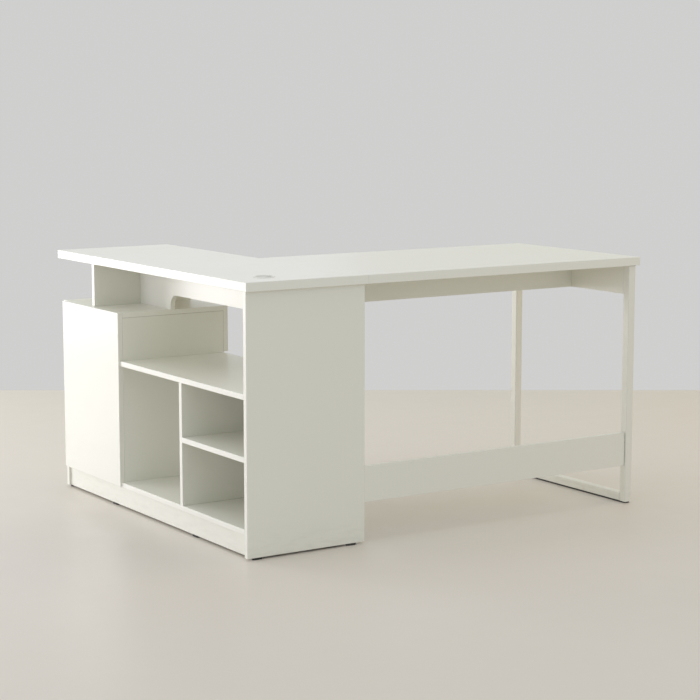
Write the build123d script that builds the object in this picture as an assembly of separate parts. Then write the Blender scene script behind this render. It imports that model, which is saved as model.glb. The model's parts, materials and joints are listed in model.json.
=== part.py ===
from build123d import *
import os

# L-shaped corner desk: two tops, a storage unit under the return and a tube leg frame.
# Millimetres, +Z up, floor at z = 0, origin at the middle of the footprint.
# Spans are given from the outer corner of the desk: x runs along the main top to the leg
# frame, y runs along the return to the cabinet. save() moves them to the origin.

# Overall sizes
DESK_LENGTH = 1360
DESK_DEPTH = 1170
DESK_HEIGHT = 750
MAIN_DEPTH = 590
RETURN_WIDTH = 385

# Board stock
TOP_THICKNESS = 25
BOARD = 15
TOP_UNDER = DESK_HEIGHT - TOP_THICKNESS
BOARD_EDGE = 0.6
TOP_EDGE = 1.2

# Storage unit
UNIT_BOTTOM = 6
PANEL_NEAR = 13
PANEL_INNER = PANEL_NEAR + BOARD
PANEL_REAR = 381
SHELF_FRONT = 6
SHELF_REAR = 355
BACK_FRONT = SHELF_REAR - BOARD
LONG_SHELF_TOP = 450
MIDDLE_SHELF_TOP = 280.5
BOTTOM_SHELF_TOP = 84
DIVIDER_NEAR = 376
PLINTH_FRONT = 22
REAR_PLINTH_FRONT = 325

# Cabinet at the far end of the unit
CABINET_FRONT = 15.4
CABINET_REAR = 357
CABINET_NEAR = 758
CABINET_FAR = 1167
CABINET_TOP = 593
CABINET_SIDE_TOP = CABINET_TOP - BOARD
CABINET_SHELF_TOP = 335
BACK_RAIL_BOTTOM = 452

# Door, hinges and latch
DOOR_NEAR = 758.4
DOOR_FAR = 1142
DOOR_BOTTOM = 71
HINGE_X = 13
HINGE_Y = 1147
HINGE_HEIGHT = 60
HINGE_BOTTOMS = (130, 480)
KNUCKLE_R = 5
HINGE_PIN_R = 2
LEAF = 1.5
LATCH_Y = 781
LATCH_Z = 526
LATCH_SPAN = (24, 82)
LATCH_BODY = 16
LATCH_FOOT_SPAN = (40, 72)
LATCH_FOOT = 2
LATCH_FOOT_REACH = 22
LATCH_SCREW_X = 56
LATCH_SCREW_REACH = 15
PLUNGER_R = 3
PLUNGER_START = 16.5
PLUNGER_LENGTH = 50
PLUNGER_BORE_SPAN = (23, 75)
STRIKE_R = 6.5
STRIKE_PROUD = 0.9
RUNNING_GAP = 0.05

# Carcass under the tops
SUPPORT_NEAR = 955
SUPPORT_FRONT = 20
SUPPORT_REAR = 352
RETURN_APRON_FRONT = 176
APRON_BOTTOM = 638
APRON_CORNER_R = 35
MAIN_APRON_NEAR = 278

# Brackets, seam plates and leg lugs
BRACKET_ARM = 28
BRACKET_WIDTH = 18
BRACKET_GAUGE = 2
BRACKET_HOLE = 18
APRON_BRACKETS_X = (460, 800, 1180)
APRON_BRACKETS_Y = (150, 420, 640)
SUPPORT_BRACKETS_X = (110, 260)
SEAM_PLATES_Y = (150, 430)
SEAM_PLATE_REACH = 45
SEAM_PLATE_HALF_WIDTH = 18
SEAM_HOLES = (-32, -14, 14, 32)
LUG_LENGTH = 40
LUG_FLANGE = 15
LUG_BOTTOM = 652
LUG_HOLE_HEIGHTS = (667, 695)
LUG_FLANGE_HOLE = 9

# Leg frame and stretcher
TUBE = 25
TUBE_WALL = 1.5
LEG_X = 1325
LEG_NEAR = 8
LEG_FAR = 577
RAIL_BOTTOM = 4.5
STRETCHER_BOTTOM = 117
STRETCHER_TOP = 218
STRETCHER_END = LEG_X - 2
BOLT_HEIGHTS = (147, 188)

# Cable grommet
GROMMET_X = 114
GROMMET_Y = 102
GROMMET_HOLE_R = 27
GROMMET_FLANGE_R = 31
CAP_DISH_R = 22.5
CAP_FLOOR = DESK_HEIGHT - 0.2

# Fasteners
DOWEL_R = 4
DOWEL_LENGTH = 30
DOWEL_IN_FACE = 10
CAM_R = 7.5
CAM_DEPTH = 12
CAM_SETBACK = 34
CAM_BOLT_R = 3.5

DIRECTIONS = {
    "+x": (1, 0, 0),
    "-x": (-1, 0, 0),
    "+y": (0, 1, 0),
    "-y": (0, -1, 0),
    "+z": (0, 0, 1),
    "-z": (0, 0, -1),
}


def block(x_span, y_span, z_span):
    """A plain box from three (low, high) spans."""
    size = [span[1] - span[0] for span in (x_span, y_span, z_span)]
    middle = [(span[1] + span[0]) / 2 for span in (x_span, y_span, z_span)]
    return Pos(*middle) * Box(*size)


def board(x_span, y_span, z_span, edge=BOARD_EDGE):
    """A board with its edge banding rounded over."""
    plain = block(x_span, y_span, z_span)
    return fillet(plain.edges(), edge)


def rod(start, direction, radius, length):
    """A round bar from start along one of the named directions."""
    step = DIRECTIONS[direction]
    plane = Plane(origin=start, z_dir=step)
    return plane * Cylinder(radius, length, align=(Align.CENTER, Align.CENTER, Align.MIN))


def moved(point, direction, distance):
    """The point carried along a named direction."""
    step = DIRECTIONS[direction]
    return tuple(point[i] + step[i] * distance for i in range(3))


def drilled(solid, tools):
    """The solid less every tool that reaches its bounding box."""
    box = solid.bounding_box()
    for tool in tools:
        other = tool.bounding_box()
        apart = (
            other.min.X > box.max.X
            or other.max.X < box.min.X
            or other.min.Y > box.max.Y
            or other.max.Y < box.min.Y
            or other.min.Z > box.max.Z
            or other.max.Z < box.min.Z
        )
        if not apart:
            solid = solid - tool
    return solid


def dowel(joint, direction):
    """A dowel across a butt joint, its long end towards the direction."""
    return rod(moved(joint, direction, -DOWEL_IN_FACE), direction, DOWEL_R, DOWEL_LENGTH)


def cam_set(joint, direction, face):
    """A cam lock let into a face, and the bolt that joins it to the next board."""
    half = CAM_DEPTH - BOARD / 2
    centre = moved(joint, direction, CAM_SETBACK)
    mouth = moved(centre, face, BOARD / 2)
    inward = {"+": "-", "-": "+"}[face[0]] + face[1]
    lock = rod(mouth, inward, CAM_R, CAM_DEPTH)
    slot = Plane(origin=mouth, z_dir=DIRECTIONS[face]) * Box(9, 1.6, half)
    bolt = rod(moved(joint, direction, -DOWEL_IN_FACE), direction, CAM_BOLT_R,
               DOWEL_IN_FACE + CAM_SETBACK - CAM_R)
    return lock, lock - slot, bolt


def screw(start, direction, length, head_r=3.2, shank_r=1.6):
    """A countersunk wood screw with its head flush at start."""
    plane = Plane(origin=start, z_dir=DIRECTIONS[direction])
    low = (Align.CENTER, Align.CENTER, Align.MIN)
    head = plane * Cone(head_r, shank_r, LEAF, align=low)
    shank = plane * Cylinder(shank_r, length, align=low)
    return head + shank


# Dowels: joint point on the meeting plane, direction into the end of the butting board.
dowel_places = []
for shelf_top, near_end, far_end in (
    (LONG_SHELF_TOP, PANEL_INNER, CABINET_NEAR),
    (MIDDLE_SHELF_TOP, PANEL_INNER, DIVIDER_NEAR),
    (BOTTOM_SHELF_TOP, PANEL_INNER, CABINET_NEAR),
    (BOTTOM_SHELF_TOP, CABINET_NEAR + BOARD, CABINET_FAR - BOARD),
):
    for x in (60, 290):
        dowel_places.append(((x, near_end, shelf_top - BOARD / 2), "+y"))
        dowel_places.append(((x, far_end, shelf_top - BOARD / 2), "-y"))
for x in (60, 290):
    dowel_places.append(((x, DIVIDER_NEAR + BOARD / 2, LONG_SHELF_TOP - BOARD), "-z"))
    dowel_places.append(((x, DIVIDER_NEAR + BOARD / 2, BOTTOM_SHELF_TOP), "+z"))
    dowel_places.append(((x, CABINET_NEAR + BOARD / 2, CABINET_SIDE_TOP), "-z"))
    dowel_places.append(((x, CABINET_FAR - BOARD / 2, CABINET_SIDE_TOP), "-z"))
    dowel_places.append(((x, SUPPORT_NEAR + BOARD / 2, CABINET_TOP), "+z"))
    dowel_places.append(((x, SUPPORT_NEAR + BOARD / 2, TOP_UNDER), "-z"))
    dowel_places.append(((x, PANEL_NEAR + BOARD / 2, TOP_UNDER), "-z"))
for x in (PLINTH_FRONT + BOARD / 2, REAR_PLINTH_FRONT + BOARD / 2):
    dowel_places.append(((x, PANEL_INNER, 38), "+y"))
    dowel_places.append(((x, CABINET_FAR - BOARD, 38), "-y"))
for z in (660, 708):
    dowel_places.append(((RETURN_APRON_FRONT + BOARD / 2, PANEL_INNER, z), "+y"))
    dowel_places.append(((RETURN_APRON_FRONT + BOARD / 2, SUPPORT_NEAR, z), "-y"))
    dowel_places.append(((RETURN_APRON_FRONT + BOARD, MAIN_APRON_NEAR + BOARD / 2, z), "+x"))
    dowel_places.append(((LEG_X, MAIN_APRON_NEAR + BOARD / 2, z), "-x"))
for z in BOLT_HEIGHTS:
    dowel_places.append(((PANEL_REAR, PANEL_NEAR + BOARD / 2, z), "+x"))
for y in (70, 230, 520):
    dowel_places.append(((RETURN_WIDTH, y, DESK_HEIGHT - TOP_THICKNESS / 2), "+x"))
dowels = [dowel(joint, direction) for joint, direction in dowel_places]

# Cam locks sit under the shelves and on the hidden faces of the aprons.
cam_places = [
    ((175, PANEL_INNER, LONG_SHELF_TOP - BOARD / 2), "+y", "-z"),
    ((175, CABINET_NEAR, LONG_SHELF_TOP - BOARD / 2), "-y", "-z"),
    ((175, PANEL_INNER, MIDDLE_SHELF_TOP - BOARD / 2), "+y", "-z"),
    ((175, DIVIDER_NEAR, MIDDLE_SHELF_TOP - BOARD / 2), "-y", "-z"),
    ((175, PANEL_INNER, BOTTOM_SHELF_TOP - BOARD / 2), "+y", "-z"),
    ((175, CABINET_NEAR, BOTTOM_SHELF_TOP - BOARD / 2), "-y", "-z"),
    ((175, CABINET_NEAR + BOARD, BOTTOM_SHELF_TOP - BOARD / 2), "+y", "-z"),
    ((175, CABINET_FAR - BOARD, BOTTOM_SHELF_TOP - BOARD / 2), "-y", "-z"),
    ((RETURN_APRON_FRONT + BOARD / 2, PANEL_INNER, 684), "+y", "+x"),
    ((RETURN_APRON_FRONT + BOARD / 2, SUPPORT_NEAR, 684), "-y", "+x"),
    ((RETURN_APRON_FRONT + BOARD, MAIN_APRON_NEAR + BOARD / 2, 684), "+x", "+y"),
    ((LEG_X, MAIN_APRON_NEAR + BOARD / 2, 684), "-x", "+y"),
]
cam_tools = []
cam_locks = []
cam_bolts = []
for joint, direction, face in cam_places:
    pocket, lock, bolt = cam_set(joint, direction, face)
    cam_tools.append(pocket)
    cam_tools.append(bolt)
    cam_locks.append(lock)
    cam_bolts.append(bolt)

# Angle brackets that hold the tops down: corner point under the top, and the way they face.
bracket_places = []
for x in APRON_BRACKETS_X:
    bracket_places.append((x, MAIN_APRON_NEAR + BOARD, "+y"))
for y in APRON_BRACKETS_Y:
    bracket_places.append((RETURN_APRON_FRONT + BOARD, y, "+x"))
for x in SUPPORT_BRACKETS_X:
    bracket_places.append((x, SUPPORT_NEAR + BOARD, "+y"))
brackets = []
bracket_screws = []
for x, y, facing in bracket_places:
    across = {"+x": (BRACKET_ARM, BRACKET_WIDTH), "+y": (BRACKET_WIDTH, BRACKET_ARM)}[facing]
    if facing == "+x":
        flat = block((x, x + across[0]), (y - across[1] / 2, y + across[1] / 2),
                     (TOP_UNDER - BRACKET_GAUGE, TOP_UNDER))
        upright = block((x, x + BRACKET_GAUGE), (y - across[1] / 2, y + across[1] / 2),
                        (TOP_UNDER - BRACKET_ARM, TOP_UNDER))
    else:
        flat = block((x - across[0] / 2, x + across[0] / 2), (y, y + across[1]),
                     (TOP_UNDER - BRACKET_GAUGE, TOP_UNDER))
        upright = block((x - across[0] / 2, x + across[0] / 2), (y, y + BRACKET_GAUGE),
                        (TOP_UNDER - BRACKET_ARM, TOP_UNDER))
    inward = {"+x": "-x", "+y": "-y"}[facing]
    up_start = moved((x, y, TOP_UNDER - BRACKET_GAUGE), facing, BRACKET_HOLE)
    side_start = moved((x, y, TOP_UNDER - BRACKET_HOLE), facing, BRACKET_GAUGE)
    pair = [screw(up_start, "+z", 15), screw(side_start, inward, 14)]
    brackets.append(drilled(flat + upright, pair))
    bracket_screws.extend(pair)

# Two flat plates bridge the seam between the tops.
seam_plates = []
for y in SEAM_PLATES_Y:
    plate = block((RETURN_WIDTH - SEAM_PLATE_REACH, RETURN_WIDTH + SEAM_PLATE_REACH),
                  (y - SEAM_PLATE_HALF_WIDTH, y + SEAM_PLATE_HALF_WIDTH),
                  (TOP_UNDER - BRACKET_GAUGE, TOP_UNDER))
    plate = fillet(plate.edges().filter_by(Axis.Z), 5)
    fixings = [
        screw((RETURN_WIDTH + side, y, TOP_UNDER - BRACKET_GAUGE), "+z", 15)
        for side in SEAM_HOLES
    ]
    seam_plates.append(drilled(plate, fixings))
    bracket_screws.extend(fixings)

# Leg lugs: angles on the leg tubes, screwed to the cross rail and up into the top.
lugs = []
lug_screws = []
lug_outer = LEG_X + BOARD + BRACKET_GAUGE
for near in (LEG_NEAR + TUBE, LEG_FAR - TUBE - LUG_LENGTH):
    middle = near + LUG_LENGTH / 2
    web = block((LEG_X + BOARD, lug_outer), (near, near + LUG_LENGTH), (LUG_BOTTOM, TOP_UNDER))
    flange = block((LEG_X + BOARD, LEG_X + BOARD + LUG_FLANGE), (near, near + LUG_LENGTH),
                   (TOP_UNDER - BRACKET_GAUGE, TOP_UNDER))
    fixings = [screw((lug_outer, middle, z), "-x", 14) for z in LUG_HOLE_HEIGHTS]
    fixings.append(screw((LEG_X + BOARD + LUG_FLANGE_HOLE, middle, TOP_UNDER - BRACKET_GAUGE), "+z", 15))
    lugs.append(drilled(web + flange, fixings))
    lug_screws.extend(fixings)

# Bolts through the near leg tube into the end of the stretcher.
stretcher_y = PANEL_NEAR + BOARD / 2
bolts = []
barrel_nuts = []
spacers = []
for z in BOLT_HEIGHTS:
    head = rod((LEG_X + TUBE + 3, stretcher_y, z), "-x", 5, 3)
    head = fillet(head.edges().sort_by(Axis.X)[-1], 1.2)
    shank = rod((LEG_X + TUBE, stretcher_y, z), "-x", 3, 62)
    bolts.append(head + shank)
    nut = rod((STRETCHER_END - 30, PANEL_INNER, z), "-y", 5, 12)
    barrel_nuts.append(nut - shank)
    spacer = rod((STRETCHER_END, stretcher_y, z), "+x", 6.5, LEG_X - STRETCHER_END)
    spacers.append(spacer - shank)

# Hinges: two butt hinges in the gap between the door and the far side panel.
fixed_leaves = []
door_leaves = []
hinge_pins = []
side_screws = []
door_screws = []
knuckle_bore = HINGE_PIN_R + RUNNING_GAP
for bottom in HINGE_BOTTOMS:
    top = bottom + HINGE_HEIGHT
    low_joint = bottom + 18
    high_joint = top - 18
    mid_gap = 0.4
    bore = rod((HINGE_X, HINGE_Y, bottom - 1), "+z", knuckle_bore, HINGE_HEIGHT + 2)
    side_y = (HINGE_Y + KNUCKLE_R - LEAF, HINGE_Y + KNUCKLE_R)
    door_y = (HINGE_Y - KNUCKLE_R, HINGE_Y - KNUCKLE_R + LEAF)
    fixed = block((HINGE_X + 6, HINGE_X + 32), side_y, (bottom, top))
    for low, high in ((bottom, low_joint), (high_joint, top)):
        fixed = fixed + block((HINGE_X, HINGE_X + 6), side_y, (low, high))
        fixed = fixed + rod((HINGE_X, HINGE_Y, low), "+z", KNUCKLE_R, high - low)
    moving = block((HINGE_X - 11.5, HINGE_X - 5.6), door_y, (bottom, top))
    moving = moving + block((HINGE_X - 5.6, HINGE_X), door_y,
                            (low_joint + mid_gap, high_joint - mid_gap))
    moving = moving + rod((HINGE_X, HINGE_Y, low_joint + mid_gap), "+z", KNUCKLE_R,
                          high_joint - low_joint - 2 * mid_gap)
    side_pair = [
        screw((HINGE_X + 20, side_y[0], z), "+y", 13, 3, 1.5) for z in (bottom + 12, top - 12)
    ]
    door_pair = [
        screw((HINGE_X - 8.6, door_y[1], z), "-y", 15, 2.4, 1.2) for z in (bottom + 9, top - 9)
    ]
    fixed_leaves.append(drilled(fixed - bore, side_pair))
    door_leaves.append(drilled(moving - bore, door_pair))
    hinge_pins.append(rod((HINGE_X, HINGE_Y, bottom), "+z", HINGE_PIN_R, HINGE_HEIGHT))
    side_screws.extend(side_pair)
    door_screws.extend(door_pair)

# Push latch inside the cabinet: housing, sprung plunger and a strike plate on the door.
latch_low = CABINET_NEAR + BOARD
foot_top = latch_low + LATCH_FOOT
housing = block(LATCH_SPAN, (latch_low, latch_low + LATCH_BODY),
                (LATCH_Z - LATCH_BODY / 2, LATCH_Z + LATCH_BODY / 2))
housing = fillet(housing.edges().filter_by(Axis.X), 2)
foot = block(LATCH_FOOT_SPAN, (latch_low, foot_top),
             (LATCH_Z - LATCH_FOOT_REACH, LATCH_Z + LATCH_FOOT_REACH))
foot = fillet(foot.edges().filter_by(Axis.Y), 3)
latch_screws = [
    screw((LATCH_SCREW_X, foot_top, LATCH_Z + side * LATCH_SCREW_REACH), "-y", 13, 3, 1.5)
    for side in (-1, 1)
]
bore_start, bore_end = PLUNGER_BORE_SPAN
plunger_bore = rod((bore_start, LATCH_Y, LATCH_Z), "+x", PLUNGER_R + RUNNING_GAP,
                   bore_end - bore_start)
latch_housing = drilled(housing + foot - plunger_bore, latch_screws)
plunger = rod((PLUNGER_START, LATCH_Y, LATCH_Z), "+x", PLUNGER_R, PLUNGER_LENGTH)
plunger = fillet(plunger.edges().sort_by(Axis.X)[0], 0.8)
strike_plate = rod((BOARD, LATCH_Y, LATCH_Z), "+x", STRIKE_R, STRIKE_PROUD)

# Shelf pins carry the loose shelf inside the cabinet.
shelf_pins = []
pin_z = CABINET_SHELF_TOP - BOARD - 2.5
for x in (60, 310):
    shelf_pins.append(rod((x, CABINET_NEAR + BOARD - 8, pin_z), "+y", 2.5, 16))
    shelf_pins.append(rod((x, CABINET_FAR - BOARD + 8, pin_z), "-y", 2.5, 16))

# Everything that is let into the boards.
tools = dowels + cam_tools + bracket_screws + lug_screws + bolts + barrel_nuts + side_screws
tools = tools + door_screws + latch_screws + shelf_pins

# Tops and the cable grommet
grommet_hole = rod((GROMMET_X, GROMMET_Y, TOP_UNDER - 1), "+z", GROMMET_HOLE_R, TOP_THICKNESS + 2)
return_top = board((0, RETURN_WIDTH), (0, DESK_DEPTH), (TOP_UNDER, DESK_HEIGHT), TOP_EDGE)
return_top = return_top - grommet_hole
main_top = board((RETURN_WIDTH, DESK_LENGTH), (0, MAIN_DEPTH), (TOP_UNDER, DESK_HEIGHT), TOP_EDGE)
flange = rod((GROMMET_X, GROMMET_Y, DESK_HEIGHT), "+z", GROMMET_FLANGE_R, 2.4)
flange = fillet(flange.edges().sort_by(Axis.Z)[-1], 1.6)
sleeve = rod((GROMMET_X, GROMMET_Y, DESK_HEIGHT - 20), "+z", GROMMET_HOLE_R, 20)
grommet_ring = flange + sleeve
grommet_ring = grommet_ring - rod((GROMMET_X, GROMMET_Y, DESK_HEIGHT - 2), "+z", 25, 6)
grommet_ring = grommet_ring - rod((GROMMET_X, GROMMET_Y, DESK_HEIGHT - 21), "+z", 23, 19)
cap_disc = rod((GROMMET_X, GROMMET_Y, DESK_HEIGHT - 1.7), "+z", 24.6, 3.9)
cap_disc = fillet(cap_disc.edges().sort_by(Axis.Z)[-1], 0.8)
cap_disc = cap_disc - rod((GROMMET_X, GROMMET_Y, CAP_FLOOR), "+z", CAP_DISH_R, 5)
cable_slot = block((GROMMET_X + 6, GROMMET_X + 26), (GROMMET_Y - 8, GROMMET_Y + 8),
                   (DESK_HEIGHT - 5, DESK_HEIGHT + 5))
cable_slot = fillet(cable_slot.edges().filter_by(Axis.Z).group_by(Axis.X)[0], 7)
grommet_cap = cap_disc - cable_slot

# Storage unit boards
unit_z = (UNIT_BOTTOM, BOTTOM_SHELF_TOP - BOARD)
end_panel = board((SHELF_FRONT, PANEL_REAR), (PANEL_NEAR, PANEL_INNER), (UNIT_BOTTOM, TOP_UNDER))
long_shelf = board((SHELF_FRONT, SHELF_REAR), (PANEL_INNER, CABINET_NEAR),
                   (LONG_SHELF_TOP - BOARD, LONG_SHELF_TOP))
middle_shelf = board((SHELF_FRONT, BACK_FRONT), (PANEL_INNER, DIVIDER_NEAR),
                     (MIDDLE_SHELF_TOP - BOARD, MIDDLE_SHELF_TOP))
bottom_shelf = board((SHELF_FRONT, SHELF_REAR), (PANEL_INNER, CABINET_NEAR),
                     (BOTTOM_SHELF_TOP - BOARD, BOTTOM_SHELF_TOP))
divider = board((SHELF_FRONT, BACK_FRONT), (DIVIDER_NEAR, DIVIDER_NEAR + BOARD),
                (BOTTOM_SHELF_TOP, LONG_SHELF_TOP - BOARD))
lower_back = board((BACK_FRONT, SHELF_REAR), (PANEL_INNER, CABINET_NEAR),
                   (BOTTOM_SHELF_TOP, LONG_SHELF_TOP - BOARD))
front_plinth = board((PLINTH_FRONT, PLINTH_FRONT + BOARD), (PANEL_INNER, CABINET_FAR - BOARD), unit_z)
rear_plinth = board((REAR_PLINTH_FRONT, REAR_PLINTH_FRONT + BOARD),
                    (PANEL_INNER, CABINET_FAR - BOARD), unit_z)

# Cabinet boards
cabinet_near_side = board((CABINET_FRONT, CABINET_REAR), (CABINET_NEAR, CABINET_NEAR + BOARD),
                          (BOTTOM_SHELF_TOP - BOARD, CABINET_SIDE_TOP))
cabinet_far_side = board((CABINET_FRONT, CABINET_REAR), (CABINET_FAR - BOARD, CABINET_FAR),
                         (UNIT_BOTTOM, CABINET_SIDE_TOP))
cabinet_top = board((CABINET_FRONT, CABINET_REAR), (CABINET_NEAR, CABINET_FAR),
                    (CABINET_SIDE_TOP, CABINET_TOP))
cabinet_floor = board((CABINET_FRONT, CABINET_REAR), (CABINET_NEAR + BOARD, CABINET_FAR - BOARD),
                      (BOTTOM_SHELF_TOP - BOARD, BOTTOM_SHELF_TOP))
cabinet_back_rail = board((CABINET_REAR, CABINET_REAR + BOARD), (CABINET_NEAR, CABINET_FAR),
                          (BACK_RAIL_BOTTOM, CABINET_TOP))
cabinet_back_sheet = block((CABINET_REAR - 3, CABINET_REAR),
                           (CABINET_NEAR + BOARD, CABINET_FAR - BOARD),
                           (BOTTOM_SHELF_TOP, CABINET_SIDE_TOP))
cabinet_shelf = board((20, CABINET_REAR - 5), (CABINET_NEAR + BOARD + 1, CABINET_FAR - BOARD - 1),
                      (CABINET_SHELF_TOP - BOARD, CABINET_SHELF_TOP))
door = board((0, BOARD), (DOOR_NEAR, DOOR_FAR), (DOOR_BOTTOM, CABINET_TOP))

# Panels and aprons between the unit and the tops
support_panel = board((SUPPORT_FRONT, SUPPORT_REAR), (SUPPORT_NEAR, SUPPORT_NEAR + BOARD),
                      (CABINET_TOP, TOP_UNDER))
apron_outline = Polyline(
    (PANEL_INNER, APRON_BOTTOM),
    (CABINET_NEAR, APRON_BOTTOM),
    (CABINET_NEAR, CABINET_TOP),
    (SUPPORT_NEAR, CABINET_TOP),
    (SUPPORT_NEAR, TOP_UNDER),
    (PANEL_INNER, TOP_UNDER),
    close=True,
)
apron_face = Plane(origin=(RETURN_APRON_FRONT, 0, 0), x_dir=(0, 1, 0), z_dir=(1, 0, 0))
return_apron = extrude(apron_face * make_face(apron_outline), BOARD)
notch_corner = [
    edge for edge in return_apron.edges().filter_by(Axis.X)
    if abs(edge.center().Y - CABINET_NEAR) < 1 and abs(edge.center().Z - APRON_BOTTOM) < 1
]
return_apron = fillet(notch_corner, APRON_CORNER_R)
main_apron = board((RETURN_APRON_FRONT + BOARD, LEG_X), (MAIN_APRON_NEAR, MAIN_APRON_NEAR + BOARD),
                   (APRON_BOTTOM, TOP_UNDER))
cross_rail = board((LEG_X, LEG_X + BOARD), (LEG_NEAR + TUBE, LEG_FAR - TUBE),
                   (APRON_BOTTOM, TOP_UNDER))
stretcher = board((PANEL_REAR, STRETCHER_END), (PANEL_NEAR, PANEL_INNER),
                  (STRETCHER_BOTTOM, STRETCHER_TOP))


def tube(x_span, y_span, z_span, long_axis, open_ends):
    """Square tube with rounded corners; open_ends lists the ends left open along its length."""
    outer = fillet(block(x_span, y_span, z_span).edges().filter_by(long_axis), 2.5)
    spans = [list(x_span), list(y_span), list(z_span)]
    along = {Axis.Y: 1, Axis.Z: 2}[long_axis]
    for index, span in enumerate(spans):
        low_wall = TUBE_WALL
        high_wall = TUBE_WALL
        if index == along and "low" in open_ends:
            low_wall = -1
        if index == along and "high" in open_ends:
            high_wall = -1
        span[0] = span[0] + low_wall
        span[1] = span[1] - high_wall
    return outer - block(*spans)


# Leg frame: two uprights and a floor rail, with plugs in the top ends and a strip below.
upright_z = (RAIL_BOTTOM, TOP_UNDER - 1.5)
leg_x_span = (LEG_X, LEG_X + TUBE)
near_upright = tube(leg_x_span, (LEG_NEAR, LEG_NEAR + TUBE), upright_z, Axis.Z, ("high",))
far_upright = tube(leg_x_span, (LEG_FAR - TUBE, LEG_FAR), upright_z, Axis.Z, ("high",))
floor_rail = tube(leg_x_span, (LEG_NEAR + TUBE, LEG_FAR - TUBE), (RAIL_BOTTOM, RAIL_BOTTOM + TUBE),
                  Axis.Y, ("low", "high"))
leg_plugs = []
for near in (LEG_NEAR, LEG_FAR - TUBE):
    lid = block(leg_x_span, (near, near + TUBE), (TOP_UNDER - 1.5, TOP_UNDER))
    lid = fillet(lid.edges().filter_by(Axis.Z), 2.5)
    wall = TUBE_WALL + 0.05
    stem = block((LEG_X + wall, LEG_X + TUBE - wall), (near + wall, near + TUBE - wall),
                 (TOP_UNDER - 14, TOP_UNDER - 1.5))
    leg_plugs.append(lid + stem)
leg_strip = block((LEG_X + 3, LEG_X + TUBE - 3), (LEG_NEAR + 4, LEG_FAR - 4), (0, RAIL_BOTTOM))
leg_strip = fillet(leg_strip.edges().filter_by(Axis.Z), 4)


def glide(x, y, x_size, y_size):
    """A nail-on glide pad between a board edge and the floor."""
    pad = block((x - x_size / 2, x + x_size / 2), (y - y_size / 2, y + y_size / 2), (0, UNIT_BOTTOM))
    return fillet(pad.edges().filter_by(Axis.Z), 5)


panel_glides = []
for y in (PANEL_NEAR + BOARD / 2, CABINET_FAR - BOARD / 2):
    for x in (40, 340):
        panel_glides.append(glide(x, y, 30, 13))
plinth_glides = []
for x in (PLINTH_FRONT + BOARD / 2, REAR_PLINTH_FRONT + BOARD / 2):
    for y in (340, 845):
        plinth_glides.append(glide(x, y, 13, 30))

single_parts = {
    "return_top": return_top,
    "main_top": main_top,
    "end_panel": end_panel,
    "long_shelf": long_shelf,
    "middle_shelf": middle_shelf,
    "bottom_shelf": bottom_shelf,
    "divider": divider,
    "lower_back": lower_back,
    "front_plinth": front_plinth,
    "rear_plinth": rear_plinth,
    "cabinet_near_side": cabinet_near_side,
    "cabinet_far_side": cabinet_far_side,
    "cabinet_top": cabinet_top,
    "cabinet_floor": cabinet_floor,
    "cabinet_back_rail": cabinet_back_rail,
    "cabinet_shelf": cabinet_shelf,
    "door": door,
    "support_panel": support_panel,
    "return_apron": return_apron,
    "main_apron": main_apron,
    "cross_rail": cross_rail,
    "stretcher": stretcher,
    "near_upright": near_upright,
}
plain_parts = {
    "grommet_ring": grommet_ring,
    "grommet_cap": grommet_cap,
    "cabinet_back_sheet": cabinet_back_sheet,
    "far_upright": far_upright,
    "floor_rail": floor_rail,
    "leg_strip": leg_strip,
    "latch_housing": latch_housing,
    "latch_plunger": plunger,
    "strike_plate": strike_plate,
}
groups = {
    "dowels": dowels,
    "cam_locks": cam_locks,
    "cam_bolts": cam_bolts,
    "top_brackets": brackets,
    "bracket_screws": bracket_screws,
    "seam_plates": seam_plates,
    "leg_lugs": lugs,
    "lug_screws": lug_screws,
    "leg_plugs": leg_plugs,
    "stretcher_bolts": bolts,
    "barrel_nuts": barrel_nuts,
    "bolt_spacers": spacers,
    "hinge_side_leaves": fixed_leaves,
    "hinge_door_leaves": door_leaves,
    "hinge_pins": hinge_pins,
    "hinge_side_screws": side_screws,
    "hinge_door_screws": door_screws,
    "latch_screws": latch_screws,
    "shelf_pins": shelf_pins,
    "panel_glides": panel_glides,
    "plinth_glides": plinth_glides,
}


def save(name, solids):
    """Write one node, moved so that the footprint's centre is the origin."""
    shift = Pos(-DESK_LENGTH / 2, -DESK_DEPTH / 2, 0)
    placed = [shift * solid for solid in solids]
    shape = placed[0] if len(placed) == 1 else Compound(children=placed)
    export_step(shape, f"parts/{name}.step")


os.makedirs("parts", exist_ok=True)
for name, solid in single_parts.items():
    save(name, [drilled(solid, tools)])
for name, solid in plain_parts.items():
    save(name, [solid])
for name, solids in groups.items():
    save(name, solids)
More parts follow.
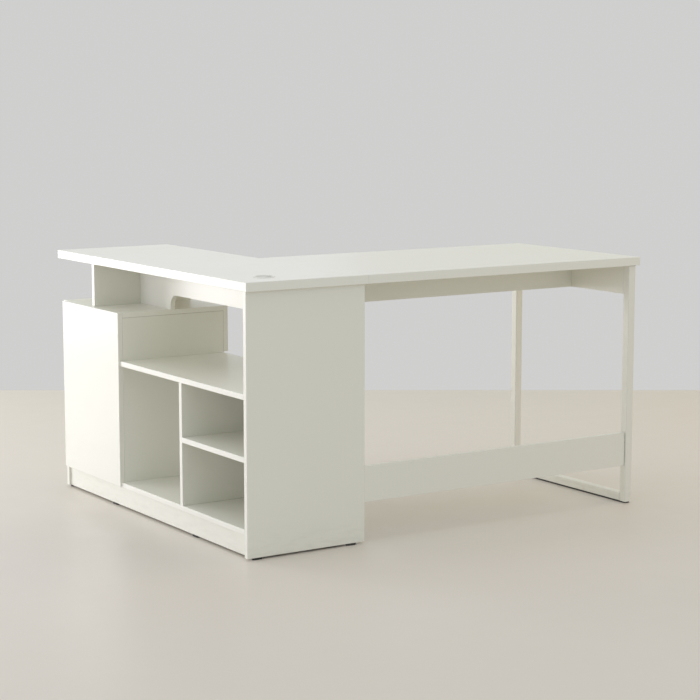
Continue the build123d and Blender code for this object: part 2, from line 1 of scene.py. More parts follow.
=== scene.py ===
import bmesh
import bpy
import json
import math
import numpy as np
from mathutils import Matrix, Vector


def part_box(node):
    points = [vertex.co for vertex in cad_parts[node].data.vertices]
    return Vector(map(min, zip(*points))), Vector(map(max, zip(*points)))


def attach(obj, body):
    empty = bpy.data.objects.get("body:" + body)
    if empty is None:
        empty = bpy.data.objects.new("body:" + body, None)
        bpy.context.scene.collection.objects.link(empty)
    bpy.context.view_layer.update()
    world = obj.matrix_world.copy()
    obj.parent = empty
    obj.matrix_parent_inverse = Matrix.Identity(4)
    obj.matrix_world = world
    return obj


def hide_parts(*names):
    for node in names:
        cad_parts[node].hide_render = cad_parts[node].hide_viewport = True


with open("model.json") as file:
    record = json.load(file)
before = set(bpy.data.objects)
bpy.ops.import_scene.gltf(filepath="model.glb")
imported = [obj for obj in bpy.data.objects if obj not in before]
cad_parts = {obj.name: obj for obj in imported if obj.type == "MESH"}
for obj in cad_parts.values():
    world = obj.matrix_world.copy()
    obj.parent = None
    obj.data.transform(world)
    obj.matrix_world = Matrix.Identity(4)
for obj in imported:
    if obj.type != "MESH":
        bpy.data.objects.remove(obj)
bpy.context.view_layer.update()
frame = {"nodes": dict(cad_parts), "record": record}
nodes = frame["nodes"]
print("corner desk: frame loaded,", len(nodes), "nodes")


# small helpers that add a node and hand back its output
def plug(tree, value, socket):
    # a socket takes either another node's output or a constant
    if isinstance(value, bpy.types.NodeSocket):
        tree.links.new(value, socket)
    else:
        socket.default_value = value


def mathOut(tree, operation, first, second=0.0, clamp=False):
    node = tree.nodes.new("ShaderNodeMath")
    node.operation = operation
    node.use_clamp = clamp
    plug(tree, first, node.inputs[0])
    plug(tree, second, node.inputs[1])
    return node.outputs[0]


def vectorOut(tree, operation, first, second=(0.0, 0.0, 0.0)):
    node = tree.nodes.new("ShaderNodeVectorMath")
    node.operation = operation
    plug(tree, first, node.inputs[0])
    plug(tree, second, node.inputs[1])
    return node.outputs["Value" if operation == "LENGTH" else "Vector"]


def splitOut(tree, vector):
    node = tree.nodes.new("ShaderNodeSeparateXYZ")
    plug(tree, vector, node.inputs[0])
    return node.outputs


def noiseOut(tree, vector, scale, detail=2.0, roughness=0.5):
    node = tree.nodes.new("ShaderNodeTexNoise")
    plug(tree, vector, node.inputs["Vector"])
    plug(tree, scale, node.inputs["Scale"])
    node.inputs["Detail"].default_value = detail
    node.inputs["Roughness"].default_value = roughness
    return node.outputs[0]


def rampOut(tree, value, low, high, fromLow=0.0, fromHigh=1.0, smooth=False):
    # maps fromLow..fromHigh to low..high and holds the ends
    node = tree.nodes.new("ShaderNodeMapRange")
    node.interpolation_type = "SMOOTHSTEP" if smooth else "LINEAR"
    plug(tree, value, node.inputs["Value"])
    plug(tree, fromLow, node.inputs["From Min"])
    plug(tree, fromHigh, node.inputs["From Max"])
    plug(tree, low, node.inputs["To Min"])
    plug(tree, high, node.inputs["To Max"])
    return node.outputs["Result"]


def mixColour(tree, factor, first, second, blend="MIX"):
    node = tree.nodes.new("ShaderNodeMix")
    node.data_type = "RGBA"
    node.blend_type = blend
    plug(tree, factor, node.inputs[0])
    plug(tree, first, node.inputs[6])
    plug(tree, second, node.inputs[7])
    return node.outputs[2]


def newGroup(name, inputs, outputs):
    # inputs: (name, kind, default); outputs: (name, kind)
    tree = bpy.data.node_groups.new(name, "ShaderNodeTree")
    for label, kind, default in inputs:
        socket = tree.interface.new_socket(label, in_out="INPUT", socket_type="NodeSocket" + kind)
        socket.default_value = default
    for label, kind in outputs:
        tree.interface.new_socket(label, in_out="OUTPUT", socket_type="NodeSocket" + kind)
    return tree, tree.nodes.new("NodeGroupInput").outputs, tree.nodes.new("NodeGroupOutput").inputs


def useGroup(tree, group, **values):
    node = tree.nodes.new("ShaderNodeGroup")
    node.node_tree = group
    for label, value in values.items():
        plug(tree, value, node.inputs[label])
    return node.outputs


# Melamine face: pressed-paper peel, faint clouding of the print and handling smears
peelGroup, gIn, gOut = newGroup(
    "pressedFace",
    [("Vector", "Vector", (0, 0, 0)), ("Peel", "Float", 700.0), ("Cloud", "Float", 0.02),
     ("Smear", "Float", 0.06), ("Depth", "Float", 0.00003)],
    [("Tone", "Float"), ("Gloss", "Float"), ("Height", "Float")],
)
fine = noiseOut(peelGroup, gIn["Vector"], gIn["Peel"], 3.0, 0.6)
broad = noiseOut(peelGroup, gIn["Vector"], 2.3, 3.0, 0.55)
middle = noiseOut(peelGroup, gIn["Vector"], 38.0, 4.0, 0.6)
stretched = vectorOut(peelGroup, "MULTIPLY", gIn["Vector"], (3.0, 17.0, 9.0))
smear = noiseOut(peelGroup, stretched, 1.6, 5.0, 0.62)
smear = rampOut(peelGroup, smear, 0.0, 1.0, 0.48, 0.74, True)
cloud = mathOut(peelGroup, "ADD", broad, mathOut(peelGroup, "MULTIPLY", middle, 0.35))
cloud = mathOut(peelGroup, "SUBTRACT", cloud, 0.67)      # about the mean of the two noises
tone = mathOut(peelGroup, "MULTIPLY_ADD", cloud, gIn["Cloud"])
tone.node.inputs[2].default_value = 1.0
plug(peelGroup, tone, gOut["Tone"])
gloss = mathOut(peelGroup, "MULTIPLY", smear, gIn["Smear"])
fineGloss = mathOut(peelGroup, "MULTIPLY", mathOut(peelGroup, "SUBTRACT", fine, 0.5), 0.10)
gloss = mathOut(peelGroup, "ADD", gloss, fineGloss)
plug(peelGroup, gloss, gOut["Gloss"])
plug(peelGroup, mathOut(peelGroup, "MULTIPLY", fine, gIn["Depth"]), gOut["Height"])

# Board edges: the glue line of the edge band one band's thickness in from every banded edge, and the
# arris where two faces meet, rubbed lighter on most boards and given a painted joint shade on the listed
# ones
edgeGroup, gIn, gOut = newGroup(
    "bandedEdge",
    [("Vector", "Vector", (0, 0, 0)), ("Low", "Vector", (0, 0, 0)), ("High", "Vector", (1, 1, 1)),
     ("Thin", "Vector", (0, 0, 0)), ("Band", "Float", 0.001), ("Rub", "Float", 0.0016)],
    [("Line", "Float"), ("Arris", "Float"), ("Side", "Float")],
)
fromLow = vectorOut(edgeGroup, "SUBTRACT", gIn["Vector"], gIn["Low"])
fromHigh = vectorOut(edgeGroup, "SUBTRACT", gIn["High"], gIn["Vector"])
nearest = vectorOut(edgeGroup, "MINIMUM", fromLow, fromHigh)
inPlane = splitOut(edgeGroup, vectorOut(edgeGroup, "ADD", nearest, gIn["Thin"]))
bandAway = mathOut(edgeGroup, "MINIMUM", inPlane[0], inPlane[1])
bandAway = mathOut(edgeGroup, "MINIMUM", bandAway, inPlane[2])
lineAway = mathOut(edgeGroup, "ABSOLUTE", mathOut(edgeGroup, "SUBTRACT", bandAway, gIn["Band"]))
plug(edgeGroup, rampOut(edgeGroup, lineAway, 1.0, 0.0, 0.00005, 0.00022, True), gOut["Line"])
plug(edgeGroup, rampOut(edgeGroup, bandAway, 1.0, 0.0, 0.0002, 0.0006, True), gOut["Side"])
each = splitOut(edgeGroup, nearest)
lowest = mathOut(edgeGroup, "MINIMUM", mathOut(edgeGroup, "MINIMUM", each[0], each[1]), each[2])
total = mathOut(edgeGroup, "ADD", mathOut(edgeGroup, "ADD", each[0], each[1]), each[2])
highest = mathOut(edgeGroup, "MAXIMUM", mathOut(edgeGroup, "MAXIMUM", each[0], each[1]), each[2])
second = mathOut(edgeGroup, "SUBTRACT", mathOut(edgeGroup, "SUBTRACT", total, lowest), highest)
broken = noiseOut(edgeGroup, gIn["Vector"], 90.0, 4.0, 0.65)
reach = mathOut(edgeGroup, "MULTIPLY", gIn["Rub"], mathOut(edgeGroup, "ADD", broken, 0.5))
plug(edgeGroup, rampOut(edgeGroup, second, 1.0, 0.0, 0.0, reach, True), gOut["Arris"])

# Dust that settles on faces that look up, and the grey of mop and shoe low down
dustGroup, gIn, gOut = newGroup(
    "settledDust",
    [("Vector", "Vector", (0, 0, 0)), ("Amount", "Float", 0.3), ("Scuff Height", "Float", 0.09)],
    [("Dust", "Float"), ("Scuff", "Float")],
)
facing = dustGroup.nodes.new("ShaderNodeNewGeometry").outputs["Normal"]
upward = rampOut(dustGroup, splitOut(dustGroup, facing)[2], 0.0, 1.0, 0.6, 0.95, True)
drift = noiseOut(dustGroup, gIn["Vector"], 7.0, 6.0, 0.7)
specks = noiseOut(dustGroup, gIn["Vector"], 620.0, 1.0, 0.5)
specks = rampOut(dustGroup, specks, 0.0, 1.0, 0.66, 0.74, True)
drift = rampOut(dustGroup, drift, 0.0, 0.6, 0.35, 0.8, True)
dust = mathOut(dustGroup, "ADD", drift, mathOut(dustGroup, "MULTIPLY", specks, 0.5))
dust = mathOut(dustGroup, "MULTIPLY", mathOut(dustGroup, "MULTIPLY", dust, upward), gIn["Amount"], True)
plug(dustGroup, dust, gOut["Dust"])
height = splitOut(dustGroup, gIn["Vector"])[2]
low = rampOut(dustGroup, height, 1.0, 0.0, 0.006, gIn["Scuff Height"], True)
flattened = vectorOut(dustGroup, "MULTIPLY", gIn["Vector"], (9.0, 9.0, 40.0))
ragged = noiseOut(dustGroup, flattened, 2.0, 5.0, 0.65)
ragged = rampOut(dustGroup, ragged, 0.0, 1.0, 0.42, 0.68, True)
plug(dustGroup, mathOut(dustGroup, "MULTIPLY", low, ragged), gOut["Scuff"])

# Powder coat: rounded orange peel with sparse pinholes
coatGroup, gIn, gOut = newGroup(
    "powderCoat",
    [("Vector", "Vector", (0, 0, 0)), ("Grain", "Float", 900.0), ("Depth", "Float", 0.00004)],
    [("Tone", "Float"), ("Gloss", "Float"), ("Height", "Float")],
)
coarse = noiseOut(coatGroup, gIn["Vector"], gIn["Grain"], 2.0, 0.5)
cells = coatGroup.nodes.new("ShaderNodeTexVoronoi")
plug(coatGroup, gIn["Vector"], cells.inputs["Vector"])
plug(coatGroup, mathOut(coatGroup, "MULTIPLY", gIn["Grain"], 0.5), cells.inputs["Scale"])
pits = rampOut(coatGroup, cells.outputs["Distance"], 0.0, 1.0, 0.0, 0.35, True)
coarse = mathOut(coatGroup, "MULTIPLY", coarse, 0.7)
bumps = mathOut(coatGroup, "ADD", coarse, mathOut(coatGroup, "MULTIPLY", pits, 0.3))
plug(coatGroup, mathOut(coatGroup, "MULTIPLY", bumps, gIn["Depth"]), gOut["Height"])
plug(coatGroup, rampOut(coatGroup, bumps, 0.97, 1.01, 0.3, 0.8), gOut["Tone"])
patches = noiseOut(coatGroup, gIn["Vector"], 21.0, 5.0, 0.6)
plug(coatGroup, rampOut(coatGroup, patches, -0.05, 0.09, 0.35, 0.7), gOut["Gloss"])

# Plated metal: rolling lines along one direction, cloudy plating, a little tarnish
platedGroup, gIn, gOut = newGroup(
    "platedMetal",
    [("Vector", "Vector", (0, 0, 0)), ("Stretch", "Vector", (60, 60, 2500)), ("Tarnish", "Float", 0.25)],
    [("Tone", "Float"), ("Gloss", "Float"), ("Height", "Float"), ("Stain", "Float")],
)
rolled = vectorOut(platedGroup, "MULTIPLY", gIn["Vector"], gIn["Stretch"])
lines = noiseOut(platedGroup, rolled, 1.0, 3.0, 0.6)
blotch = noiseOut(platedGroup, gIn["Vector"], 160.0, 5.0, 0.65)
plug(platedGroup, rampOut(platedGroup, lines, 0.9, 1.06, 0.3, 0.7), gOut["Tone"])
plug(platedGroup, rampOut(platedGroup, blotch, -0.06, 0.16, 0.35, 0.7), gOut["Gloss"])
plug(platedGroup, mathOut(platedGroup, "MULTIPLY", lines, 0.00001), gOut["Height"])
tarnish = rampOut(platedGroup, blotch, 0.0, 1.0, 0.52, 0.75, True)
plug(platedGroup, mathOut(platedGroup, "MULTIPLY", tarnish, gIn["Tarnish"]), gOut["Stain"])
print("corner desk: shared effects made")


def startMaterial(name, roughness, metallic=0.0):
    material = bpy.data.materials.new(name)
    material.use_nodes = True
    tree = material.node_tree
    shader = tree.nodes["Principled BSDF"]
    shader.inputs["Roughness"].default_value = roughness
    shader.inputs["Metallic"].default_value = metallic
    place = tree.nodes.new("ShaderNodeTexCoord").outputs["Object"]
    return material, tree, shader, place


def bumpInto(tree, shader, height, distance=1.0, strength=1.0):
    bump = tree.nodes.new("ShaderNodeBump")
    bump.inputs["Strength"].default_value = strength
    bump.inputs["Distance"].default_value = distance
    plug(tree, height, bump.inputs["Height"])
    tree.links.new(bump.outputs["Normal"], shader.inputs["Normal"])


def toned(tree, colour, tone):
    # colour scaled by a tone value that stays near 1
    grey = tree.nodes.new("ShaderNodeCombineColor")
    for channel in range(3):
        plug(tree, tone, grey.inputs[channel])
    return mixColour(tree, 1.0, colour, grey.outputs[0], "MULTIPLY")


whiteBoard = {
    "face": (0.845, 0.843, 0.775, 1.0),   # melamine paper, a touch warm
    "band": (0.865, 0.862, 0.80, 1.0),    # edge band is a shade brighter than the face
    "glue": (0.66, 0.64, 0.57, 1.0),
    "glueStrength": 0.35,
    "rubbed": (0.90, 0.89, 0.85, 1.0),
    "dust": (0.70, 0.68, 0.63, 1.0),
    "scuff": (0.55, 0.53, 0.48, 1.0),
    "rubStrength": 0.35,
    # painted joint shade: a dark colour drawn round the borders of the listed boards, standing for the
    # shadow at their butt joints
    "paintedJointShade": (0.34, 0.33, 0.27, 1.0),
    "paintedJointShadeStrength": 0.75,
    "paintedJointShadeBoards": ("cabinet_near_side",),
    "openFront": (-0.02, 0.0, 0.0),
    "roughness": 0.30,
    "smear": 0.012,
    "peel": 650.0,
    "cloud": 0.022,
    "dustAmount": 0.10,
    "scuffHeight": 0.10,      # scuffs fade out this far above the floor
}


def boardMaterial(node, finish):
    # the listed boards butt against their neighbours; their borders get a painted joint shade, a dark
    # colour standing for the shadow in the joints
    low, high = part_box(node)
    size = high - low
    if node in finish["paintedJointShadeBoards"]:
        low = low + Vector(finish["openFront"])      # the front edge stands free and gets no painted joint shade
    thin = [0.0, 0.0, 0.0]
    thin[min(range(3), key=lambda axis: size[axis])] = 1.0
    material, tree, shader, place = startMaterial("board_" + node, finish["roughness"])
    face = useGroup(tree, peelGroup, Vector=place, Peel=finish["peel"], Cloud=finish["cloud"],
                    Smear=finish["smear"])
    edge = useGroup(tree, edgeGroup, Vector=place, Low=tuple(low), High=tuple(high), Thin=tuple(thin))
    grime = useGroup(tree, dustGroup, Vector=place, Amount=finish["dustAmount"])
    grime[0].node.inputs["Scuff Height"].default_value = finish["scuffHeight"]
    colour = mixColour(tree, edge["Side"], finish["face"], finish["band"])
    colour = toned(tree, colour, face["Tone"])
    glueLine = mathOut(tree, "MULTIPLY", edge["Line"], finish["glueStrength"])
    colour = mixColour(tree, glueLine, colour, finish["glue"])
    border, strength = finish["rubbed"], finish["rubStrength"]
    # on the listed boards the painted joint shade takes the place of the rubbed arris
    if node in finish["paintedJointShadeBoards"]:
        border, strength = finish["paintedJointShade"], finish["paintedJointShadeStrength"]
    colour = mixColour(tree, mathOut(tree, "MULTIPLY", edge["Arris"], strength), colour, border)
    colour = mixColour(tree, grime["Dust"], colour, finish["dust"])
    colour = mixColour(tree, mathOut(tree, "MULTIPLY", grime["Scuff"], 0.16), colour, finish["scuff"])
    plug(tree, colour, shader.inputs["Base Color"])
    rough = mathOut(tree, "ADD", face["Gloss"], finish["roughness"])
    rough = mathOut(tree, "ADD", rough, mathOut(tree, "MULTIPLY", grime["Dust"], 0.9))
    rough = mathOut(tree, "SUBTRACT", rough, mathOut(tree, "MULTIPLY", edge["Arris"], 0.08), True)
    plug(tree, rough, shader.inputs["Roughness"])
    groove = mathOut(tree, "MULTIPLY", edge["Line"], -0.00004)
    bumpInto(tree, shader, mathOut(tree, "ADD", face["Height"], groove))
    return material


def dress(node, material):
    slots = nodes[node].data.materials
    if not len(slots):
        slots.append(material)
    for index in range(len(slots)):
        slots[index] = material


subparts = frame["record"]["subparts"]
boardNodes = [part["node"] for part in subparts if part["material_slot"] == "white_board"]
for node in boardNodes:
    dress(node, boardMaterial(node, whiteBoard))


def plainMaterial(name, look):
    # painted, moulded and plated finishes, each from its own effect group
    material, tree, shader, place = startMaterial(
        name, look["roughness"], look.get("metallic", 0.0))
    kind = look["kind"]
    if kind == "plated":
        made = useGroup(tree, platedGroup, Vector=place, Stretch=look["stretch"], Tarnish=look["tarnish"])
        colour = toned(tree, look["colour"], made["Tone"])
        colour = mixColour(tree, made["Stain"], colour, look["stain"])
    elif kind == "powder":
        made = useGroup(tree, coatGroup, Vector=place, Grain=look["grain"], Depth=look["depth"])
        grime = useGroup(tree, dustGroup, Vector=place, Amount=look["dustAmount"])
        colour = toned(tree, look["colour"], made["Tone"])
        colour = mixColour(tree, grime["Dust"], colour, look["dust"])
        colour = mixColour(tree, mathOut(tree, "MULTIPLY", grime["Scuff"], 0.3), colour, look["dust"])
    else:
        made = useGroup(tree, peelGroup, Vector=place, Peel=look["grain"], Cloud=look["cloud"],
                        Depth=look["depth"])
        grime = useGroup(tree, dustGroup, Vector=place, Amount=look["dustAmount"])
        colour = toned(tree, look["colour"], made["Tone"])
        colour = mixColour(tree, grime["Dust"], colour, look["dust"])
    plug(tree, colour, shader.inputs["Base Color"])
    plug(tree, mathOut(tree, "ADD", made["Gloss"], look["roughness"], True), shader.inputs["Roughness"])
    bumpInto(tree, shader, made["Height"])
    return material


finishes = {
    "white_steel": {"kind": "powder", "colour": (0.84, 0.835, 0.775, 1), "roughness": 0.40, "grain": 950.0,
                    "depth": 0.00005, "dustAmount": 0.10, "dust": (0.62, 0.60, 0.55, 1)},
    "back_sheet": {"kind": "moulded", "colour": (0.80, 0.79, 0.74, 1), "roughness": 0.55, "grain": 420.0,
                   "cloud": 0.05, "depth": 0.00006, "dustAmount": 0.1, "dust": (0.6, 0.58, 0.54, 1)},
    "black_plastic": {"kind": "moulded", "colour": (0.022, 0.022, 0.024, 1), "roughness": 0.55,
                      "grain": 800.0, "cloud": 0.25, "depth": 0.00008, "dustAmount": 0.25,
                      "dust": (0.20, 0.19, 0.18, 1)},
    "grommet_plastic": {"kind": "moulded", "colour": (0.80, 0.80, 0.745, 1), "roughness": 0.30,
                        "grain": 1200.0, "cloud": 0.03, "depth": 0.00003, "dustAmount": 0.15,
                        "dust": (0.55, 0.53, 0.5, 1)},
    "latch_plastic": {"kind": "moulded", "colour": (0.74, 0.74, 0.70, 1), "roughness": 0.42,
                      "grain": 1100.0, "cloud": 0.04, "depth": 0.00004, "dustAmount": 0.1,
                      "dust": (0.5, 0.5, 0.48, 1)},
    "bright_steel": {"kind": "plated", "colour": (0.70, 0.69, 0.66, 1), "roughness": 0.26, "metallic": 1.0,
                     "stretch": (90.0, 90.0, 2600.0), "tarnish": 0.22, "stain": (0.42, 0.39, 0.34, 1)},
    "zinc_steel": {"kind": "plated", "colour": (0.56, 0.58, 0.60, 1), "roughness": 0.38, "metallic": 1.0,
                   "stretch": (140.0, 1800.0, 140.0), "tarnish": 0.45, "stain": (0.34, 0.34, 0.33, 1)},
}
for slotName, look in finishes.items():
    finishMaterial = plainMaterial(slotName, look)
    finishes[slotName]["material"] = finishMaterial
    for part in subparts:
        if part["material_slot"] == slotName:
            dress(part["node"], finishMaterial)

beech = {"light": (0.62, 0.44, 0.27, 1), "dark": (0.40, 0.25, 0.14, 1), "roughness": 0.6}
beechMaterial, tree, shader, place = startMaterial("beech", beech["roughness"])
grain = noiseOut(tree, vectorOut(tree, "MULTIPLY", place, (90.0, 90.0, 900.0)), 1.0, 4.0, 0.6)
grainTone = rampOut(tree, grain, 0.0, 1.0, 0.35, 0.68)
plug(tree, mixColour(tree, grainTone, beech["light"], beech["dark"]), shader.inputs["Base Color"])
plug(tree, rampOut(tree, grain, 0.52, 0.7), shader.inputs["Roughness"])
bumpInto(tree, shader, mathOut(tree, "MULTIPLY", grain, 0.00008))
dress("dowels", beechMaterial)
print("corner desk: materials on", len(boardNodes), "boards and the fittings")


# Fittings made here in place of the plain CAD ones: cross-recess screws and socket bolts.
# Their places are in millimetres from the desk's outer corner.
outerCorner = np.array((-680.0, -585.0, 0.0))


def meshFrom(name, points, faces, slotName, smoothAngle=40.0):
    # points in millimetres from the outer corner
    mesh = bpy.data.meshes.new(name)
    placed = (points + outerCorner) / 1000.0
    mesh.from_pydata(placed.tolist(), [], faces.tolist())
    work = bmesh.new()
    work.from_mesh(mesh)
    bmesh.ops.remove_doubles(work, verts=work.verts, dist=1e-7)      # closes the poles
    bmesh.ops.recalc_face_normals(work, faces=work.faces)
    work.to_mesh(mesh)
    work.free()
    mesh.polygons.foreach_set("use_smooth", np.ones(len(mesh.polygons), dtype=bool))
    mesh.set_sharp_from_angle(angle=math.radians(smoothAngle))
    mesh.materials.append(finishes[slotName]["material"])
    piece = bpy.data.objects.new(name, mesh)
    bpy.context.scene.collection.objects.link(piece)
    return piece


def turnedFaces(rings, steps, start):
    # quads between neighbouring rings, closed round the turn, numbered from start
    row, column = np.meshgrid(np.arange(rings - 1), np.arange(steps), indexing="ij")
    after = (column + 1) % steps
    corners = np.stack((row * steps + column, row * steps + after,
                        (row + 1) * steps + after, (row + 1) * steps + column), axis=-1)
    return corners.reshape(-1, 4) + start


def turnedPoints(origin, axis, radii, depths, steps, recess):
    # a profile (radius, depth) turned round an axis: point = origin + axis * depth
    # + radius * (cos * side + sin * up); recess(x, y) adds depth where the head is sunk
    axis = np.array(axis, dtype=float)
    side = np.array((0.0, 0.0, 1.0)) if abs(axis[2]) < 0.5 else np.array((1.0, 0.0, 0.0))
    up = np.cross(axis, side)
    angle = np.linspace(0.0, 2.0 * np.pi, steps, endpoint=False)
    radius = np.repeat(np.array(radii)[:, None], steps, axis=1)
    x, y = radius * np.cos(angle), radius * np.sin(angle)
    onHead = (np.arange(len(radii)) < recess["rings"])[:, None]
    depth = np.array(depths)[:, None] + np.where(onHead, recess["shape"](x, y), 0.0)
    points = np.array(origin) + depth[..., None] * axis + x[..., None] * side + y[..., None] * up
    return points.reshape(-1, 3)


def crossRecess(x, y):
    # two crossed bars with sloping walls, deepest in the middle
    bar = np.maximum(np.clip((0.62 - np.abs(x)) / 0.18, 0, 1) * np.clip((2.1 - np.abs(y)) / 0.3, 0, 1),
                     np.clip((0.62 - np.abs(y)) / 0.18, 0, 1) * np.clip((2.1 - np.abs(x)) / 0.3, 0, 1))
    return bar * (1.15 - 0.3 * np.hypot(x, y))


def hexRecess(x, y):
    # a hexagon 4 mm across flats: the largest distance along three directions 60 degrees apart
    flats = np.max([np.abs(x * np.cos(a) + y * np.sin(a)) for a in np.radians((0, 60, 120))], axis=0)
    return np.clip((2.0 - flats) / 0.12, 0, 1) * 1.7


def screwSet(name, nodeName, slotName, places, look, body):
    # one mesh of all the screws of a node: countersunk head, shank with a thread, point
    allPoints, allFaces = [], []
    for origin, axis, length, headR, shankR in places:
        faceR = np.linspace(0.0, headR, look["headRings"])
        turnCount = np.arange(look["threadRings"])
        threadR = shankR * (1.0 - look["threadDepth"] * (turnCount % 2))
        threadS = np.linspace(look["countersink"] + 0.4, length - 2.0, look["threadRings"])
        radii = np.concatenate((faceR, [shankR], threadR, [0.0]))
        depths = np.concatenate((np.zeros(look["headRings"]), [look["countersink"]], threadS, [length]))
        recess = {"rings": look["headRings"] - 1, "shape": crossRecess}
        start = sum(len(points) for points in allPoints)
        allPoints.append(turnedPoints(origin, axis, radii, depths, look["steps"], recess))
        allFaces.append(turnedFaces(len(radii), look["steps"], start))
    piece = meshFrom(name, np.concatenate(allPoints), np.concatenate(allFaces), slotName)
    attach(piece, body)
    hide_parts(nodeName)


screwLook = {
    "steps": 32,
    "headRings": 12,
    "threadRings": 9,
    "threadDepth": 0.22,
    "countersink": 1.5,
}
bracketPlaces = []
for x in (460, 800, 1180):      # brackets behind the main apron
    bracketPlaces += [((x, 311, 723), (0, 0, 1)), ((x, 295, 707), (0, -1, 0))]
for y in (150, 420, 640):       # behind the return apron
    bracketPlaces += [((209, y, 723), (0, 0, 1)), ((193, y, 707), (-1, 0, 0))]
for x in (110, 260):            # behind the support panel
    bracketPlaces += [((x, 988, 723), (0, 0, 1)), ((x, 972, 707), (0, -1, 0))]
bracketScrews = [(origin, axis, 15 if axis[2] else 14, 3.2, 1.6) for origin, axis in bracketPlaces]
for y in (150, 430):            # seam plates
    bracketScrews += [((385 + side, y, 723), (0, 0, 1), 15, 3.2, 1.6) for side in (-32, -14, 14, 32)]
lugScrews = []
for y in (53, 532):
    lugScrews += [((1342, y, z), (-1, 0, 0), 14, 3.2, 1.6) for z in (667, 695)]
    lugScrews.append(((1349, y, 723), (0, 0, 1), 15, 3.2, 1.6))
hingeSideScrews = [((33, 1150.5, z), (0, 1, 0), 13, 3.0, 1.5) for z in (142, 178, 492, 528)]
hingeDoorScrews = [((4.4, 1143.5, z), (0, -1, 0), 15, 2.4, 1.2) for z in (139, 181, 489, 531)]
latchScrews = [((56, 775, z), (0, -1, 0), 13, 3.0, 1.5) for z in (511, 541)]
screwSet("bracketScrewHeads", "bracket_screws", "zinc_steel", bracketScrews, screwLook, "desk")
screwSet("lugScrewHeads", "lug_screws", "zinc_steel", lugScrews, screwLook, "desk")
screwSet("hingeSideScrewHeads", "hinge_side_screws", "bright_steel", hingeSideScrews, screwLook, "desk")
screwSet("hingeDoorScrewHeads", "hinge_door_screws", "bright_steel", hingeDoorScrews, screwLook, "door")
screwSet("latchScrewHeads", "latch_screws", "bright_steel", latchScrews, screwLook, "desk")
print("corner desk: cross-recess screws made")

boltLook = {"headR": 5.0, "headHeight": 3.0, "round": 1.2, "shankR": 3.0, "length": 65.0, "steps": 48}


def socketBolts(name, nodeName, slotName, places, look):
    # button head with a hexagon socket: flat face, quarter-round rim, side, shank
    bend = np.radians(np.linspace(90.0, 0.0, 7))
    faceR = np.linspace(0.0, look["headR"] - look["round"], 20)
    rimR = look["headR"] - look["round"] + look["round"] * np.cos(bend[1:])
    rimS = look["round"] - look["round"] * np.sin(bend[1:])
    radii = np.concatenate((faceR, rimR, [look["headR"], look["shankR"], look["shankR"], 0.0]))
    depths = np.concatenate((np.zeros(20), rimS, [look["headHeight"]] * 2, [look["length"]] * 2))
    recess = {"rings": 20, "shape": hexRecess}
    points, faces = [], []
    for count, origin in enumerate(places):
        points.append(turnedPoints(origin, (-1, 0, 0), radii, depths, look["steps"], recess))
        faces.append(turnedFaces(len(radii), look["steps"], count * len(radii) * look["steps"]))
    piece = meshFrom(name, np.concatenate(points), np.concatenate(faces), slotName)
    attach(piece, "desk")
    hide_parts(nodeName)


socketBolts("stretcherBoltHeads", "stretcher_bolts", "bright_steel",
            [(1353, 20.5, 147), (1353, 20.5, 188)], boltLook)

weldLook = {"bead": 1.1, "ripple": 0.14, "pitch": 1.6, "steps": 14, "corner": 2.5, "foot": 7.0}


def weldBead(name, y, low, high, look):
    # a round bead carried up one side of the rail, over it and down the other:
    # point = path + bead * (cos * outward + sin * y axis), rippled along the path,
    # and drawn in to nothing at both ends
    corner = look["corner"]
    span = high[0] - low[0] - 2.0 * corner
    rise = high[1] - corner - look["foot"]
    sweep = np.radians(np.linspace(0.0, 90.0, 8))
    straight = np.linspace(0.0, 1.0, 40)
    side, top = np.zeros(40), np.full(40, 0.5 * np.pi)
    angle = np.concatenate((side, sweep, top, sweep + 0.5 * np.pi, side + np.pi))
    centreX = np.concatenate((side + high[0] - corner, sweep * 0 + high[0] - corner,
                              high[0] - corner - straight * span, sweep * 0 + low[0] + corner,
                              side + low[0] + corner))
    centreZ = np.concatenate((look["foot"] + straight * rise, sweep * 0 + high[1] - corner,
                              side + high[1] - corner, sweep * 0 + high[1] - corner,
                              high[1] - corner - straight * rise))
    pathX, pathZ = centreX + corner * np.cos(angle), centreZ + corner * np.sin(angle)
    run = np.concatenate(([0.0], np.cumsum(np.hypot(np.diff(pathX), np.diff(pathZ)))))
    taper = np.sqrt(np.clip(np.minimum(run, run[-1] - run) / 1.5, 0.0, 1.0))
    bead = look["bead"] * taper * (1.0 + look["ripple"] * np.sin(2.0 * np.pi * run / look["pitch"]))
    turn = np.linspace(0.0, 2.0 * np.pi, look["steps"], endpoint=False)
    out = bead[:, None] * np.cos(turn)
    points = np.stack((pathX[:, None] + out * np.cos(angle)[:, None],
                       y + bead[:, None] * np.sin(turn),
                       pathZ[:, None] + out * np.sin(angle)[:, None]), axis=-1).reshape(-1, 3)
    piece = meshFrom(name, points, turnedFaces(len(run), look["steps"], 0), "white_steel", 60.0)
    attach(piece, "desk")


weldBead("nearWeld", 33.0, (1325.0, 4.5), (1350.0, 29.5), weldLook)
weldBead("farWeld", 552.0, (1325.0, 4.5), (1350.0, 29.5), weldLook)
print("corner desk: socket bolts and weld beads made")

view = {
    "azimuth": -33.04,
    "elevation": 7.98,
    "place": (-3.1957, -4.9515, 1.2783),
    "lens": 99.6,
    "floorAhead": 7.92,      # the floor ends this far in front of the camera
    "floorReach": 14.0,
}
turn = math.radians(view["azimuth"])
ahead = Vector((-math.sin(turn), math.cos(turn), 0.0))
across = Vector((math.cos(turn), math.sin(turn), 0.0))

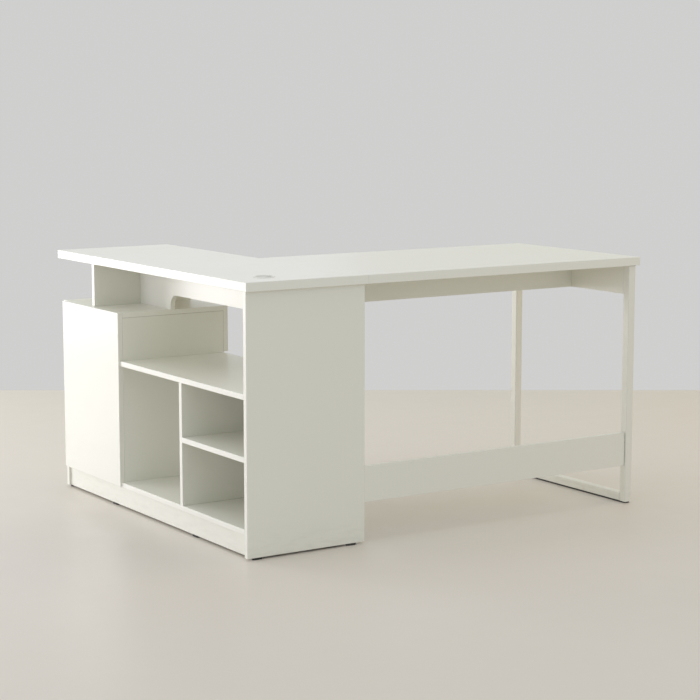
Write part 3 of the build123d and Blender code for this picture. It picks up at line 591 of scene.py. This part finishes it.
floorLook = {"colour": (0.735, 0.685, 0.625, 1), "roughness": 0.42, "cloud": 0.015}
floorFoot = Vector((view["place"][0], view["place"][1], 0.0))
farEdge = floorFoot + ahead * view["floorAhead"]
floorDepth = 2 * view["floorReach"]
corners = [farEdge + across * side * view["floorReach"] - ahead * back
           for side, back in ((-1, floorDepth), (1, floorDepth), (1, 0), (-1, 0))]
floorMesh = bpy.data.meshes.new("floor")
floorMesh.from_pydata([tuple(c) for c in corners], [], [(0, 1, 2, 3)])
floor = bpy.data.objects.new("floor", floorMesh)
bpy.context.scene.collection.objects.link(floor)
floorMaterial, tree, shader, place = startMaterial("paleFloor", floorLook["roughness"])
wide = noiseOut(tree, place, 0.8, 4.0, 0.5)
wide = rampOut(tree, wide, 1.0 - floorLook["cloud"], 1.0 + floorLook["cloud"])
plug(tree, toned(tree, floorLook["colour"], wide), shader.inputs["Base Color"])
satin = noiseOut(tree, place, 9.0, 4.0, 0.6)
plug(tree, rampOut(tree, satin, 0.38, 0.46, 0.3, 0.7), shader.inputs["Roughness"])
bumpInto(tree, shader, mathOut(tree, "MULTIPLY", satin, 0.00005))
floorMesh.materials.append(floorMaterial)

world = bpy.data.worlds.new("studio")
bpy.context.scene.world = world
world.use_nodes = True
worldTree = world.node_tree
backgroundNode = worldTree.nodes["Background"]
skyLook = {"ambient": (0.65, 0.67, 0.60, 1), "seen": (0.625, 0.625, 0.62, 1)}
backgroundNode.inputs["Color"].default_value = skyLook["ambient"]
seenNode = worldTree.nodes.new("ShaderNodeBackground")
seenNode.inputs["Color"].default_value = skyLook["seen"]
mixNode = worldTree.nodes.new("ShaderNodeMixShader")
pathNode = worldTree.nodes.new("ShaderNodeLightPath")
worldTree.links.new(pathNode.outputs["Is Camera Ray"], mixNode.inputs[0])
worldTree.links.new(backgroundNode.outputs[0], mixNode.inputs[1])
worldTree.links.new(seenNode.outputs[0], mixNode.inputs[2])
worldTree.links.new(mixNode.outputs[0], worldTree.nodes["World Output"].inputs["Surface"])

lamps = [
    {"name": "farWindow", "place": (-2.3, 3.0, 0.85), "aim": (-0.5, 0.0, 0.55),
     "size": (1.6, 1.3), "power": 45.4, "colour": (0.978, 0.974, 1.000)},
    {"name": "leftWindow", "place": (-3.6, 0.6, 0.9), "aim": (-0.5, 0.0, 0.5),
     "size": (1.8, 1.4), "power": 22.6, "colour": (0.851, 0.811, 1.000)},
    {"name": "overhead", "place": (0.0, 0.0, 3.2), "aim": (0.0, 0.0, 0.0),
     "size": (3.0, 3.0), "power": 19.0, "colour": (0.763, 0.70, 1.0)},
    {"name": "front", "place": (-0.6, -4.2, 2.4), "aim": (0.0, 0.0, 0.5),
     "size": (3.0, 2.0), "power": 13.0, "colour": (0.354, 0.454, 1.000)},
    {"name": "right", "place": (3.6, -1.2, 1.6), "aim": (0.3, 0.0, 0.4),
     "size": (2.0, 2.0), "power": 14.8, "colour": (1.000, 0.507, 0.135)},
    {"name": "behind", "place": (1.0, 3.4, 2.2), "aim": (0.2, 0.0, 0.5),
     "size": (2.4, 2.0), "power": 5.7, "colour": (0.719, 0.684, 1.000)},
]
for lamp in lamps:
    lampData = bpy.data.lights.new(lamp["name"], "AREA")
    lampData.shape = "RECTANGLE"
    lampData.size, lampData.size_y = lamp["size"]
    lampData.energy = lamp["power"]
    lampData.color = lamp["colour"]
    lampObject = bpy.data.objects.new(lamp["name"], lampData)
    lampObject.location = lamp["place"]
    away = Vector(lamp["place"]) - Vector(lamp["aim"])
    lampObject.rotation_euler = away.to_track_quat("Z", "Y").to_euler()
    lampObject.visible_camera = False
    bpy.context.scene.collection.objects.link(lampObject)

cameraData = bpy.data.cameras.new("camera")
cameraData.lens = view["lens"]
cameraData.sensor_width = 36.0
camera = bpy.data.objects.new("camera", cameraData)
camera.location = view["place"]
camera.rotation_euler = (math.radians(90.0 - view["elevation"]), 0.0, turn)
bpy.context.scene.collection.objects.link(camera)
bpy.context.scene.camera = camera
bpy.context.scene.view_settings.view_transform = "Standard"
bpy.context.scene.view_settings.look = "None"
print("corner desk: floor, lamps and camera placed")
